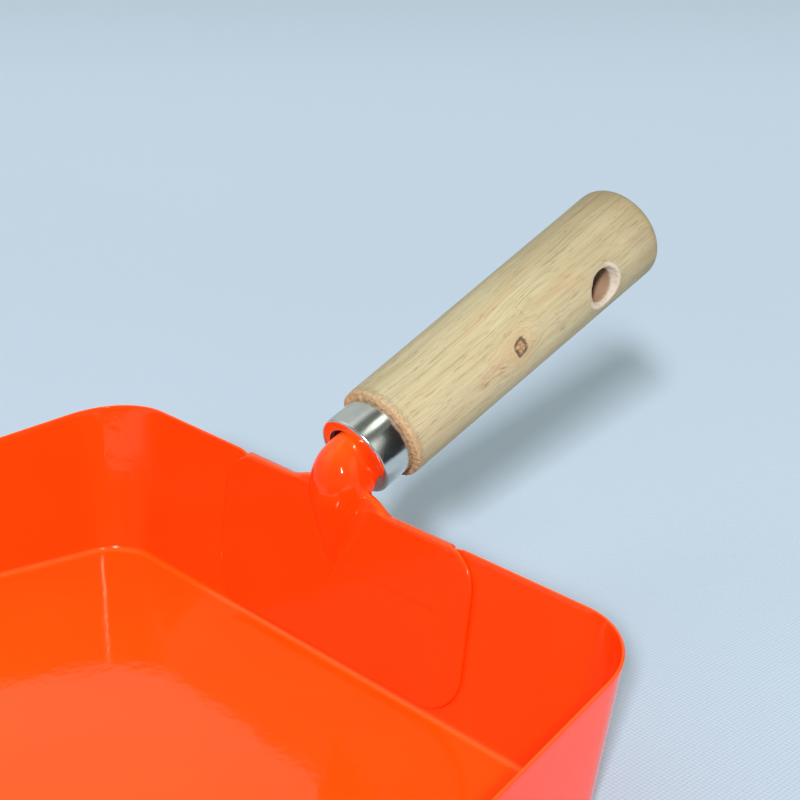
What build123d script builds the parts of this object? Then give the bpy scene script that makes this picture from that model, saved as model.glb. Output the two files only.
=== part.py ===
"""Sheet-steel dustpan with a turned wooden handle.

Millimetres. +Z is up and +Y runs from the mouth to the handle. The origin is the middle of
the flat underside, on the surface that the pan stands on.
"""

import os
from math import cos, radians, sin, tan

from build123d import *

# ---- driving dimensions -------------------------------------------------------------------

# Pan, measured inside the tray.
SHEET = 0.8
TRAY_DEPTH = 200.0
TRAY_BACK_WIDTH = 195.8
SIDE_FLARE = 10.2
WALL_HEIGHT = 47.1
WALL_LEAN = 8.35
CORNER_RADIUS = 15.7
FLOOR_BEND_RADIUS = 2.0
RIM_SLOPE = 0.118
CHEEK_NOSE_RADIUS = 17.0

# Bracket: a plate welded inside the back wall, with a pressed cone that runs into the tang.
PLATE = 1.2
PLATE_WIDTH = 99.0
PLATE_BOTTOM = 2.4
PLATE_CORNER_RADIUS = 13.0
HOOK_HALF_WIDTH = 41.0
HOOK_RETURN = 5.0
HOOK_CLEARANCE = 0.15
HOOK_ROUNDING = 1.1
GUSSET_WIDTH = 22.0
GUSSET_HEIGHT = 4.4
CONE_TIP_HEIGHT = 25.5
CONE_TIP_ANGLE = 82.0
CONE_TIP_RADIUS = 0.15

# Handle, along its own axis from the front of the ferrule.
AXIS_TILT = 21.7
AXIS_START = (10.7, 57.1)
FERRULE_RADIUS = 11.9
FERRULE_LENGTH = 10.6
FERRULE_WALL = 0.5
FERRULE_EDGE_RADIUS = 0.9
FERRULE_HOLE_RADIUS = 8.7
TANG_RADIUS = 8.1
TANG_LENGTH = 58.0
TANG_END_RADIUS = 5.0
TANG_LEG = 4.6
TANG_LEG_FOOT = (-4.2, -6.2)
TANG_LEG_IN_WOOD = 2.0
TANG_LEG_TAPER = 12.0
WOOD_LENGTH = 107.7
WOOD_FRONT_RADIUS = 14.0
WOOD_END_RADIUS = 15.1
WOOD_END_ROUNDING = 5.0
WOOD_SHOULDER_ROUNDING = 0.5
HANG_HOLE_RADIUS = 5.0
BORE_SPARE = 1.5
HANG_HOLE_FROM_END = 27.7
COUNTERSINK_RADIUS = 6.6
COUNTERSINK_ANGLE = 60.0
COUNTERSINK_INSET = 0.1

# Cutting shapes reach this far past what they cut.
PAST = 5.0
FAR_PAST = 40.0

# ---- derived places -----------------------------------------------------------------------

back = TRAY_DEPTH / 2
mouth = -TRAY_DEPTH / 2
rim_y = back + WALL_HEIGHT * tan(radians(WALL_LEAN))
rim_z = SHEET + WALL_HEIGHT
ferrule_front = (back + AXIS_START[0], SHEET + AXIS_START[1])
along = (cos(radians(AXIS_TILT)), sin(radians(AXIS_TILT)))

# The inside face of the back wall: x to the right, y up the wall, z into the tray.
wall_plane = Plane(
    origin=(0, back, SHEET),
    x_dir=(1, 0, 0),
    z_dir=(0, -cos(radians(WALL_LEAN)), sin(radians(WALL_LEAN))),
)
wall_length = WALL_HEIGHT / cos(radians(WALL_LEAN))


def axis_plane(distance):
    """Plane square to the handle's axis, this far behind the ferrule's front."""
    y = ferrule_front[0] + distance * along[0]
    z = ferrule_front[1] + distance * along[1]
    return Plane(origin=(0, y, z), x_dir=(1, 0, 0), z_dir=(0, *along))


def path_plane(y, z, climb):
    """Plane square to a path in the middle plane that climbs at this angle above +Y."""
    return Plane(
        origin=(0, y, z),
        x_dir=(1, 0, 0),
        z_dir=(0, cos(radians(climb)), sin(radians(climb))),
    )


def beside_axis(distance, height):
    """Y and Z of a point this far along the handle's axis and this far above it."""
    return (
        ferrule_front[0] + distance * along[0] - height * along[1],
        ferrule_front[1] + distance * along[1] + height * along[0],
    )


# ---- pan body -----------------------------------------------------------------------------

half_back = TRAY_BACK_WIDTH / 2
spread = TRAY_DEPTH * tan(radians(SIDE_FLARE))
front_spread = spread + FAR_PAST * tan(radians(SIDE_FLARE))


def tray_block(grow, lift, bend):
    """Solid as large as the tray, grown outwards by the sheet and lifted off the ground."""
    side_grow = grow / cos(radians(SIDE_FLARE))
    corner = half_back + side_grow + grow * tan(radians(SIDE_FLARE))
    front = half_back + side_grow + front_spread
    with BuildPart() as block:
        with BuildSketch(Plane.XY.offset(lift)) as footprint:
            with BuildLine():
                Polyline(
                    (-corner, back + grow),
                    (corner, back + grow),
                    (front, mouth - FAR_PAST),
                    (-front, mouth - FAR_PAST),
                    close=True,
                )
            make_face()
            back_corners = footprint.vertices().group_by(Axis.Y)[-1]
            fillet(back_corners, CORNER_RADIUS + grow)
        extrude(amount=WALL_HEIGHT + PAST, taper=-WALL_LEAN)
        floor_edges = block.faces().sort_by(Axis.Z)[0].edges().sort_by(Axis.Y)[1:]
        fillet(floor_edges, bend)
    return block.part


grow_at_ground = SHEET / cos(radians(WALL_LEAN)) - SHEET * tan(radians(WALL_LEAN))
outer_block = tray_block(grow_at_ground, 0, FLOOR_BEND_RADIUS + SHEET)
inner_block = tray_block(0, SHEET, FLOOR_BEND_RADIUS)

with BuildPart() as pan_body:
    add(outer_block)
    add(inner_block, mode=Mode.SUBTRACT)
    # Side view of the pan: level rim at the back, sides that fall gently to rounded cheeks.
    with BuildSketch(Plane.YZ) as side_view:
        with BuildLine():
            cheek_y = mouth + CHEEK_NOSE_RADIUS
            cheek_z = rim_z - RIM_SLOPE * (rim_y - cheek_y)
            Polyline(
                (mouth, cheek_z - CHEEK_NOSE_RADIUS),
                (mouth, -PAST),
                (rim_y + PAST, -PAST),
                (rim_y + PAST, rim_z),
                (rim_y, rim_z),
                (cheek_y, cheek_z),
            )
            ThreePointArc(
                (cheek_y, cheek_z),
                (
                    cheek_y - CHEEK_NOSE_RADIUS * sin(radians(45)),
                    cheek_z - CHEEK_NOSE_RADIUS * (1 - cos(radians(45))),
                ),
                (mouth, cheek_z - CHEEK_NOSE_RADIUS),
            )
        make_face()
    extrude(amount=half_back + front_spread, both=True, mode=Mode.INTERSECT)
pan_body.part.label = "pan_body"

# ---- handle bracket -----------------------------------------------------------------------

# The tang's bend: centre in Y and Z, climb in degrees and outside radius, from the rim on.
bend_sections = [
    (rim_y - 1.2, rim_z, 80.0, 8.6),
    (rim_y - 0.3, rim_z + 3.4, 62.0, 9.0),
    (rim_y + 1.3, rim_z + 7.4, 40.0, 8.7),
    (*ferrule_front, AXIS_TILT, TANG_RADIUS),
]
tip_y = back + CONE_TIP_HEIGHT * tan(radians(WALL_LEAN)) - PLATE
tip_z = SHEET + CONE_TIP_HEIGHT


def horn(wall):
    """Round horn, smaller by a wall: a cone up the plate, the bend, and a taper in the wood."""
    with BuildPart() as shape:
        with BuildSketch(path_plane(tip_y, tip_z + wall, CONE_TIP_ANGLE)):
            Circle(CONE_TIP_RADIUS)
        with BuildSketch(path_plane(*bend_sections[0][:3])):
            Circle(bend_sections[0][3] - wall)
        loft()
        for y, z, climb, radius in bend_sections:
            with BuildSketch(path_plane(y, z, climb)):
                Circle(radius - wall)
        loft()
        with BuildSketch(axis_plane(0)):
            Circle(TANG_RADIUS - wall)
        with BuildSketch(axis_plane(TANG_LENGTH)):
            Circle(TANG_END_RADIUS - wall)
        loft(ruled=True)
    return shape.part


with BuildPart() as tang:
    add(horn(0))
    add(horn(PLATE), mode=Mode.SUBTRACT)
    # What lies behind the wall, and the open underside of the channel beyond the rim.
    with BuildSketch(Plane.YZ):
        with BuildLine():
            Polyline(
                (back, SHEET),
                (rim_y, rim_z),
                (rim_y, rim_z + PLATE),
                beside_axis(*TANG_LEG_FOOT),
                beside_axis(0, -TANG_LEG),
                beside_axis(TANG_LEG_TAPER, -TANG_LEG_IN_WOOD),
                beside_axis(TANG_LENGTH + PAST, -TANG_LEG_IN_WOOD),
                beside_axis(TANG_LENGTH + PAST, -FAR_PAST),
                close=True,
            )
        make_face()
    extrude(amount=FAR_PAST, both=True, mode=Mode.SUBTRACT)

# Across the rim: x is outwards, square to the wall, and y is up the wall.
hook_plane = Plane(
    origin=(0, rim_y, rim_z),
    x_dir=(0, cos(radians(WALL_LEAN)), -sin(radians(WALL_LEAN))),
    z_dir=(1, 0, 0),
)

with BuildPart() as handle_bracket:
    with BuildSketch(wall_plane) as plate_outline:
        with Locations((0, PLATE_BOTTOM)):
            Rectangle(PLATE_WIDTH, wall_length - PLATE_BOTTOM, align=(Align.CENTER, Align.MIN))
        fillet(plate_outline.vertices(), PLATE_CORNER_RADIUS)
    extrude(amount=PLATE)
    # The hook over the rim.
    with BuildSketch(hook_plane) as hook_section:
        with BuildLine():
            Polyline(
                (-PLATE, -PLATE),
                (-PLATE, HOOK_CLEARANCE + PLATE),
                (SHEET + PLATE, HOOK_CLEARANCE + PLATE),
                (SHEET + PLATE, -HOOK_RETURN),
                (SHEET, -HOOK_RETURN),
                (SHEET, HOOK_CLEARANCE),
                (0, HOOK_CLEARANCE),
                (0, -PLATE),
                close=True,
            )
        make_face()
        fillet(hook_section.vertices().group_by(Axis.Y)[-1], HOOK_ROUNDING)
    extrude(amount=HOOK_HALF_WIDTH, both=True)
    # The gussets that carry the plate's top edge up into the tang.
    with BuildSketch(wall_plane):
        with BuildLine():
            foot = (GUSSET_WIDTH, wall_length + PLATE)
            crest = (TANG_RADIUS, wall_length + PLATE + GUSSET_HEIGHT)
            Line((TANG_RADIUS, wall_length - PLATE), (GUSSET_WIDTH, wall_length - PLATE))
            Line((GUSSET_WIDTH, wall_length - PLATE), foot)
            TangentArc(foot, crest, tangent=(-1, 0))
            Line(crest, (TANG_RADIUS, wall_length - PLATE))
        make_face()
        mirror(about=Plane.YZ)
    extrude(amount=PLATE)
    # Room inside the cone and the tang, down through the plate and the hook.
    add(horn(PLATE), mode=Mode.SUBTRACT)
    with BuildSketch(Plane.XY.offset(rim_z - PLATE)):
        with Locations((0, rim_y + PAST)):
            Rectangle(2 * (TANG_RADIUS - PLATE), 3 * PAST)
    extrude(amount=4 * PLATE, mode=Mode.SUBTRACT)
    add(tang.part)
handle_bracket.part.label = "handle_bracket"

# ---- ferrule ------------------------------------------------------------------------------

with BuildPart() as ferrule:
    with BuildSketch(axis_plane(0)):
        Circle(FERRULE_RADIUS)
    extrude(amount=FERRULE_LENGTH)
    fillet(ferrule.edges().sort_by(Axis.Y)[0], FERRULE_EDGE_RADIUS)
    with BuildSketch(axis_plane(FERRULE_WALL)):
        Circle(FERRULE_RADIUS - FERRULE_WALL)
    extrude(amount=FERRULE_LENGTH, mode=Mode.SUBTRACT)
    with BuildSketch(axis_plane(0)):
        Circle(FERRULE_HOLE_RADIUS)
    extrude(amount=FERRULE_LENGTH, mode=Mode.SUBTRACT)
ferrule.part.label = "ferrule"

# ---- wooden handle ------------------------------------------------------------------------

tenon_radius = FERRULE_RADIUS - FERRULE_WALL
wood_end = FERRULE_LENGTH + WOOD_LENGTH
hole_distance = wood_end - HANG_HOLE_FROM_END
hole_y, hole_z = beside_axis(hole_distance, 0)
# Where the countersink's widest circle lies, so that the drilled radius starts inside.
sink_x = WOOD_END_RADIUS - COUNTERSINK_INSET
turning_plane = Plane(origin=(0, *ferrule_front), x_dir=(0, *along), z_dir=(1, 0, 0))

with BuildPart() as wooden_handle:
    with BuildSketch(turning_plane):
        with BuildLine():
            Polyline(
                (FERRULE_WALL, 0),
                (FERRULE_WALL, tenon_radius - FERRULE_EDGE_RADIUS),
                (FERRULE_WALL + FERRULE_EDGE_RADIUS, tenon_radius),
                (FERRULE_LENGTH, tenon_radius),
                (FERRULE_LENGTH, WOOD_FRONT_RADIUS),
                (wood_end, WOOD_END_RADIUS),
                (wood_end, 0),
                close=True,
            )
        make_face()
    revolve(axis=Axis((0, *ferrule_front), (0, *along)))
    ends = wooden_handle.edges().filter_by(GeomType.CIRCLE).sort_by(Axis.Y)
    fillet(ends[-1], WOOD_END_ROUNDING)
    # The shoulder is the widest circle in the wood's front half.
    circles = wooden_handle.edges().filter_by(GeomType.CIRCLE)
    front_half = [edge for edge in circles if edge.center().Y < back + TANG_LENGTH]
    fillet(sorted(front_half, key=lambda edge: edge.radius)[-1], WOOD_SHOULDER_ROUNDING)
    # Tapered bore for the tang, a little deeper than the tang is long.
    with BuildSketch(axis_plane(0)):
        Circle(TANG_RADIUS)
    with BuildSketch(axis_plane(TANG_LENGTH)):
        Circle(TANG_END_RADIUS)
    loft(ruled=True, mode=Mode.SUBTRACT)
    with BuildSketch(axis_plane(TANG_LENGTH)):
        Circle(TANG_END_RADIUS)
    extrude(amount=BORE_SPARE, mode=Mode.SUBTRACT)
    # Hang hole, countersunk from both sides.
    for side in (-1, 1):
        with Locations(Plane(origin=(side * sink_x, hole_y, hole_z), z_dir=(side, 0, 0))):
            CounterSinkHole(
                HANG_HOLE_RADIUS, COUNTERSINK_RADIUS, sink_x, COUNTERSINK_ANGLE
            )
wooden_handle.part.label = "wooden_handle"

# ---- output -------------------------------------------------------------------------------

os.makedirs("parts", exist_ok=True)
for piece in (pan_body, handle_bracket, ferrule, wooden_handle):
    export_step(piece.part, f"parts/{piece.part.label}.step")
    print(piece.part.label, piece.part.volume, piece.part.is_valid, len(piece.part.solids()))
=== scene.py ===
"""Sheet-steel dustpan with a turned wooden handle: the looks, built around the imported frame.

Shapes are worked out in millimetres and scaled to metres as the meshes are made; lights, cards
and camera are in metres. +Y runs from the mouth to the handle and +Z is up.
"""

from math import atan2, cos, pi, radians, sin, sqrt, tan

import bmesh
import bpy
import numpy as np
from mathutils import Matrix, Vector


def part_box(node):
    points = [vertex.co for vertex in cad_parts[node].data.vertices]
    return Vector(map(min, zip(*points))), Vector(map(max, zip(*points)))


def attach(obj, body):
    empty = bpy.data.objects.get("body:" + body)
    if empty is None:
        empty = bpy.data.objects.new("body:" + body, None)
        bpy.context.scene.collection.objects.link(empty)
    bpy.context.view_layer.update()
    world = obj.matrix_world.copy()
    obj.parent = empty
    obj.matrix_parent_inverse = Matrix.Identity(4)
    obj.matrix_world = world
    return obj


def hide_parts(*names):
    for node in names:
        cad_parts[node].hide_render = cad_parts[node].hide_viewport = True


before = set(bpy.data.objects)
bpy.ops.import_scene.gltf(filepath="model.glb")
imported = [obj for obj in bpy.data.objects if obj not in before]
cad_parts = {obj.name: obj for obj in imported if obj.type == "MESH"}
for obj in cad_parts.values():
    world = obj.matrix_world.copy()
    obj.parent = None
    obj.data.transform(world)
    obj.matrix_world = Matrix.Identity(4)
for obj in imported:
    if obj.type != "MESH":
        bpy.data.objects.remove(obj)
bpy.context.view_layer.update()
scene = bpy.context.scene

MM = 0.001

# ---- sizes shared with the frame ----------------------------------------------------------

pan_low, pan_high = (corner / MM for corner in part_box("pan_body"))

SHEET = 0.8
TRAY_DEPTH = 200.0
MOUTH = pan_low.y
RIM_Z = pan_high.z
BACK = MOUTH + TRAY_DEPTH
WALL_LEAN = radians(8.35)
SIDE_FLARE = radians(10.2)
HALF_BACK = 97.9
CORNER_RADIUS = 15.7
BEND_RADIUS = 2.0
RIM_SLOPE = 0.118
NOSE_RADIUS = 17.0
RIM_Y = BACK + (RIM_Z - SHEET) * tan(WALL_LEAN)
WALL_LENGTH = (RIM_Z - SHEET) / cos(WALL_LEAN)

AXIS_CLIMB = 21.7
AXIS_TILT = radians(AXIS_CLIMB)
AXIS_FROM_FOOT = (10.7, 57.1)
FERRULE_FRONT = np.array([0.0, BACK + AXIS_FROM_FOOT[0], SHEET + AXIS_FROM_FOOT[1]])
FERRULE_RADIUS = 11.9
FERRULE_LENGTH = 10.6
FERRULE_WALL = 0.5
FERRULE_EDGE_RADIUS = 0.9
FERRULE_HOLE_RADIUS = 8.7
TANG_LENGTH = 58.0
WOOD_END = FERRULE_LENGTH + 107.7
WOOD_FRONT_RADIUS = 14.0
WOOD_END_RADIUS = 15.0
WOOD_END_ROUNDING = 5.0
HANG_HOLE_AT = WOOD_END - 27.7
HANG_HOLE_RADIUS = 5.0

ALONG = np.array([0.0, cos(AXIS_TILT), sin(AXIS_TILT)])
ABOVE = np.array([0.0, -sin(AXIS_TILT), cos(AXIS_TILT)])
UP_WALL = np.array([0.0, sin(WALL_LEAN), cos(WALL_LEAN)])
INTO_TRAY = np.array([0.0, -cos(WALL_LEAN), sin(WALL_LEAN)])
WALL_FOOT = np.array([0.0, BACK, SHEET])


# ---- mesh tools ---------------------------------------------------------------------------


def make_object(name, points, faces, material):
    """A mesh object in metres from points in millimetres, with its normals facing outwards."""
    mesh = bpy.data.meshes.new(name)
    mesh.from_pydata([tuple(p) for p in np.asarray(points) * MM], [], faces)
    work = bmesh.new()
    work.from_mesh(mesh)
    bmesh.ops.recalc_face_normals(work, faces=work.faces)
    work.to_mesh(mesh)
    work.free()
    mesh.materials.append(material)
    for polygon in mesh.polygons:
        polygon.use_smooth = True
    piece = bpy.data.objects.new(name, mesh)
    scene.collection.objects.link(piece)
    return piece


def value_noise(points, size, seed):
    """Smooth noise between -1 and 1, with features about this far apart."""
    table = np.random.RandomState(seed).uniform(-1, 1, (32, 32, 32))
    scaled = np.stack(np.broadcast_arrays(*points), -1) / size
    cell = np.floor(scaled).astype(int)
    part = scaled - cell
    part = part * part * (3 - 2 * part)
    total = 0.0
    for dx in (0, 1):
        for dy in (0, 1):
            for dz in (0, 1):
                weight = (
                    np.abs(1 - dx - part[..., 0])
                    * np.abs(1 - dy - part[..., 1])
                    * np.abs(1 - dz - part[..., 2])
                )
                index = (cell + (dx, dy, dz)) % 32
                total = total + weight * table[index[..., 0], index[..., 1], index[..., 2]]
    return total


def surface_mesh(field, xs, ys, zs):
    """Points and quads of the closed surface where the field is zero, inside being negative."""
    grid = field(xs[:, None, None], ys[None, :, None], zs[None, None, :])
    axes = (xs, ys, zs)
    inside = grid < 0
    cells, places, corners = [], [], []
    shape = np.array(grid.shape)
    for axis in range(3):
        low = [slice(None)] * 3
        high = [slice(None)] * 3
        low[axis], high[axis] = slice(0, -1), slice(1, None)
        crossing = inside[tuple(low)] != inside[tuple(high)]
        index = np.stack(np.nonzero(crossing), -1)
        after = index.copy()
        after[:, axis] += 1
        at_low = grid[tuple(index.T)]
        at_high = grid[tuple(after.T)]
        share = at_low / (at_low - at_high)
        place = np.stack([axes[i][index[:, i]] for i in range(3)], -1)
        place[:, axis] += share * (axes[axis][after[:, axis]] - place[:, axis])
        first, second = (axis + 1) % 3, (axis + 2) % 3
        ring = []
        for a, b in ((0, 0), (1, 0), (1, 1), (0, 1)):
            cell = index.copy()
            cell[:, first] -= a
            cell[:, second] -= b
            number = np.ravel_multi_index(tuple(cell.T), tuple(shape))
            ring.append(number)
            cells.append(number)
            places.append(place)
        ring = np.stack(ring, -1)
        outward = at_low < 0
        corners.append(ring[outward])
        corners.append(ring[~outward][:, ::-1])
    numbers, inverse = np.unique(np.concatenate(cells), return_inverse=True)
    places = np.concatenate(places)
    count = np.bincount(inverse, minlength=len(numbers))
    points = np.stack(
        [np.bincount(inverse, places[:, i], len(numbers)) / count for i in range(3)], -1
    )
    faces = np.searchsorted(numbers, np.concatenate(corners))
    # Newton steps move the points onto the surface, none of them far.
    step = 0.01
    longest = 0.25
    for _ in range(3):
        value = field(*points.T)
        slope = np.stack(
            [
                (field(*(points + d).T) - field(*(points - d).T)) / (2 * step)
                for d in np.eye(3) * step
            ],
            -1,
        )
        size = np.maximum((slope**2).sum(-1), 0.25)
        move = (value / size)[:, None] * slope
        length = np.sqrt((move**2).sum(-1, keepdims=True))
        points = points - move * np.minimum(1, longest / np.maximum(length, 1e-9))
    return points, faces.tolist()


def smooth_min(a, b, reach):
    """The smaller value, rounded where the two come within this reach of each other."""
    share = np.clip(0.5 + 0.5 * (b - a) / reach, 0, 1)
    return b + (a - b) * share - reach * share * (1 - share)


def smooth_max(a, b, reach):
    return -smooth_min(-a, -b, reach)


def rounded_corner(a, b, radius):
    """Distance to a rounded corner, from the distances past its rounding's two start lines."""
    outside = np.sqrt(np.maximum(a, 0) ** 2 + np.maximum(b, 0) ** 2)
    return outside + np.minimum(np.maximum(a, b), 0) - radius


def rounded_box(across, through, edge):
    """Distance to a prism from its outline's distance and its faces' distance."""
    return rounded_corner(across + edge, through + edge, edge)


def ramp(value, low, high):
    """Smooth step from 0 at low to 1 at high."""
    share = np.clip((value - low) / (high - low), 0, 1)
    return share * share * (3 - 2 * share)


def steps(*runs):
    """Grid lines: each run is (start, end, step)."""
    lines = []
    for start, end, step in runs:
        count = max(1, round((end - start) / step))
        lines.extend(np.linspace(start, end, count, endpoint=False))
    lines.append(runs[-1][1])
    return np.array(lines)


# ---- materials ----------------------------------------------------------------------------


class Shader:
    """A material's node tree, with short calls for the nodes used here."""

    def __init__(self, name):
        self.material = bpy.data.materials.new(name)
        self.material.use_nodes = True
        self.tree = self.material.node_tree
        self.surface = self.tree.nodes["Principled BSDF"]
        coordinates = self.tree.nodes.new("ShaderNodeTexCoord")
        self.position = coordinates.outputs["Object"]

    def node(self, kind, **inputs):
        made = self.tree.nodes.new(kind)
        for name, value in inputs.items():
            self.feed(made.inputs[name.replace("_", " ")], value)
        return made

    def feed(self, socket, value):
        if isinstance(value, bpy.types.NodeSocket):
            self.tree.links.new(value, socket)
        else:
            socket.default_value = value

    def frame_vector(self, turn=0.0, scale=(1, 1, 1)):
        """Position in millimetres, turned about X and stretched."""
        placed = self.node("ShaderNodeMapping", Vector=self.position)
        placed.inputs["Scale"].default_value = (1 / MM, 1 / MM, 1 / MM)
        turned = self.node("ShaderNodeMapping", Vector=placed.outputs[0])
        turned.inputs["Rotation"].default_value = (turn, 0, 0)
        stretched = self.node("ShaderNodeMapping", Vector=turned.outputs[0])
        stretched.inputs["Scale"].default_value = tuple(scale)
        return stretched.outputs[0]

    def axis_vector(self):
        """Position in millimetres from the ferrule's front: X, along the handle, above it."""
        placed = self.node("ShaderNodeMapping", Vector=self.position)
        placed.inputs["Scale"].default_value = (1 / MM, 1 / MM, 1 / MM)
        placed.inputs["Location"].default_value = tuple(-FERRULE_FRONT)
        turned = self.node("ShaderNodeMapping", Vector=placed.outputs[0])
        turned.inputs["Rotation"].default_value = (-AXIS_TILT, 0, 0)
        return turned.outputs[0]

    def noise(self, vector, scale, detail=2.0, roughness=0.5):
        made = self.node(
            "ShaderNodeTexNoise", Vector=vector, Scale=scale, Detail=detail, Roughness=roughness
        )
        return made.outputs["Fac"]

    def math(self, operation, a, b=0.0, c=0.0):
        made = self.tree.nodes.new("ShaderNodeMath")
        made.operation = operation
        self.feed(made.inputs[0], a)
        self.feed(made.inputs[1], b)
        self.feed(made.inputs[2], c)
        return made.outputs[0]

    def times(self, a, b):
        return self.math("MULTIPLY", a, b)

    def plus(self, a, b):
        return self.math("ADD", a, b)

    def minus(self, a, b):
        return self.math("SUBTRACT", a, b)

    def apart(self, a, b):
        return self.math("ABSOLUTE", self.minus(a, b))

    def larger(self, a, b):
        return self.math("MAXIMUM", a, b)

    def centred(self, noise, size):
        """Noise between 0 and 1 made to swing by half this size to both sides of 0."""
        return self.math("MULTIPLY_ADD", noise, size, -size / 2)

    def dot(self, vector, towards):
        made = self.node("ShaderNodeVectorMath", Vector=vector)
        made.operation = "DOT_PRODUCT"
        made.inputs[1].default_value = tuple(towards)
        return made.outputs["Value"]

    def length(self, vector):
        made = self.node("ShaderNodeVectorMath", Vector=vector)
        made.operation = "LENGTH"
        return made.outputs["Value"]

    def facing(self):
        return self.node("ShaderNodeNewGeometry").outputs["Normal"]

    def remap(self, value, low, high, to_low=0.0, to_high=1.0):
        made = self.node(
            "ShaderNodeMapRange",
            Value=value,
            From_Min=low,
            From_Max=high,
            To_Min=to_low,
            To_Max=to_high,
        )
        made.interpolation_type = "SMOOTHSTEP"
        return made.outputs[0]

    def mix(self, share, a, b):
        made = self.tree.nodes.new("ShaderNodeMix")
        made.data_type = "RGBA"
        self.feed(made.inputs["Factor"], share)
        self.feed(made.inputs[6], a)
        self.feed(made.inputs[7], b)
        return made.outputs[2]

    def parts(self, vector):
        return self.node("ShaderNodeSeparateXYZ", Vector=vector).outputs

    def joined(self, x, y, z):
        return self.node("ShaderNodeCombineXYZ", X=x, Y=y, Z=z).outputs[0]

    def bump(self, height, distance, strength=1.0, normal=None):
        made = self.node("ShaderNodeBump", Height=height, Distance=distance, Strength=strength)
        if normal is not None:
            self.feed(made.inputs["Normal"], normal)
        return made.outputs[0]

    def set(self, **inputs):
        for name, value in inputs.items():
            self.feed(self.surface.inputs[name.replace("_", " ")], value)


ENAMEL_WALL = ((0.98, 0.035, 0.0015, 1), (0.98, 0.041, 0.0019, 1))
# Painted light: the side and floor colours are lighter copies of the wall colour, for faces that catch
# more light.
ENAMEL_SIDE_PAINTED_LIGHT = ((0.98, 0.039, 0.0014, 1), (0.98, 0.045, 0.0018, 1))
ENAMEL_FLOOR_PAINTED_LIGHT = ((0.98, 0.066, 0.0024, 1), (0.98, 0.082, 0.0032, 1))
# Colour of the plate's cracked joint and of the painted shade along its edges.
ENAMEL_CRACK_AND_SHADE = (0.30, 0.006, 0.001, 1)
ENAMEL_SHEEN = (1.0, 0.72, 0.42, 1)


def enamel(name, crack_and_shade=False):
    """Thick glossy orange enamel over sheet steel, with painted light on faces turned up or towards
    +X, and on the bracket a dark cracked joint and painted shade along the plate's edge.
    """
    shade = Shader(name)
    place = shade.frame_vector()
    cloudy = shade.noise(place, 0.03, 3.0)
    facing = shade.parts(shade.facing())
    wall = shade.mix(cloudy, *ENAMEL_WALL)
    side = shade.mix(cloudy, *ENAMEL_SIDE_PAINTED_LIGHT)
    floor = shade.mix(cloudy, *ENAMEL_FLOOR_PAINTED_LIGHT)
    # Painted light: faces turned towards +X and faces turned up are painted lighter than the walls.
    colour = shade.mix(shade.remap(facing[0], 0.55, 0.97), wall, side)
    colour = shade.mix(shade.remap(facing[2], 0.3, 0.95), colour, floor)
    if crack_and_shade:
        # Dark cracked joint along the plate's edge, with painted shade on its lower and left edges.
        colour = shade.mix(crack_and_painted_shade(shade), colour, ENAMEL_CRACK_AND_SHADE)
    peel = shade.noise(place, 0.35, 2.0)
    waves = shade.noise(place, 0.045, 1.0)
    speckle = shade.noise(place, 1.6, 2.0)
    normal = shade.bump(waves, 0.35 * MM, 0.35)
    normal = shade.bump(peel, 0.08 * MM, 0.7, normal)
    normal = shade.bump(speckle, 0.012 * MM, 0.6, normal)
    rough = shade.remap(speckle, 0.3, 0.8, 0.055, 0.12)
    shade.set(Base_Color=colour, Roughness=rough, Normal=normal, IOR=1.5)
    shade.set(Specular_Tint=ENAMEL_SHEEN)
    return shade


def crack_and_painted_shade(shade):
    """Mask of the dark joint where the plate's edge meets the wall, broken on the right: partly its
    real crack, partly painted shade, with painted shade on the lower and left edges too.
    """
    from_foot = shade.node("ShaderNodeVectorMath", Vector=shade.frame_vector())
    from_foot.operation = "SUBTRACT"
    from_foot.inputs[1].default_value = tuple(WALL_FOOT)
    into, up, x = (
        shade.dot(from_foot.outputs["Vector"], towards)
        for towards in (INTO_TRAY, UP_WALL, (1.0, 0.0, 0.0))
    )
    low = shade.remap(into, 0.25, 0.62, 1.0, 0.0)
    low = shade.times(low, shade.remap(into, -0.3, -0.1))
    low = shade.times(low, shade.remap(up, WALL_LENGTH - 2.5, WALL_LENGTH - 1.5, 1.0, 0.0))
    dashes = shade.remap(shade.noise(shade.joined(up, 0.0, 0.0), 0.75, 1.0), 0.42, 0.52)
    whole = shade.remap(x, 20.0, 30.0, 1.0, 0.0)
    crack = shade.times(low, shade.larger(dashes, whole))
    # Painted shade: the rounded lower and left edges, which face away from the light, are dark too,
    # most of all round the lower left corner.
    facing = shade.facing()
    down = shade.remap(shade.dot(facing, -UP_WALL), 0.35, 0.65)
    down = shade.times(down, shade.remap(up, 10.0, 16.0, 1.0, 0.0))
    left = shade.remap(shade.dot(facing, (-1.0, 0.0, 0.0)), 0.35, 0.65)
    left = shade.times(left, shade.remap(x, -40.0, -36.0, 1.0, 0.0))
    left = shade.times(left, shade.remap(up, 14.0, 30.0, 1.0, 0.3))
    return shade.larger(crack, shade.larger(down, left))


def plated_steel(name):
    """Bright plated steel with fine drawing marks around it."""
    shade = Shader(name)
    marks = shade.noise(shade.frame_vector(-AXIS_TILT, (0.6, 6.0, 0.6)), 1.0, 4.0, 0.65)
    clouds = shade.noise(shade.frame_vector(), 0.25, 3.0)
    rough = shade.remap(marks, 0.25, 0.8, 0.12, 0.24)
    colour = shade.mix(clouds, (0.58, 0.60, 0.58, 1), (0.74, 0.76, 0.73, 1))
    normal = shade.bump(marks, 0.02 * MM, 0.5)
    shade.set(Base_Color=colour, Metallic=1.0, Roughness=rough, Normal=normal)
    return shade


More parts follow.
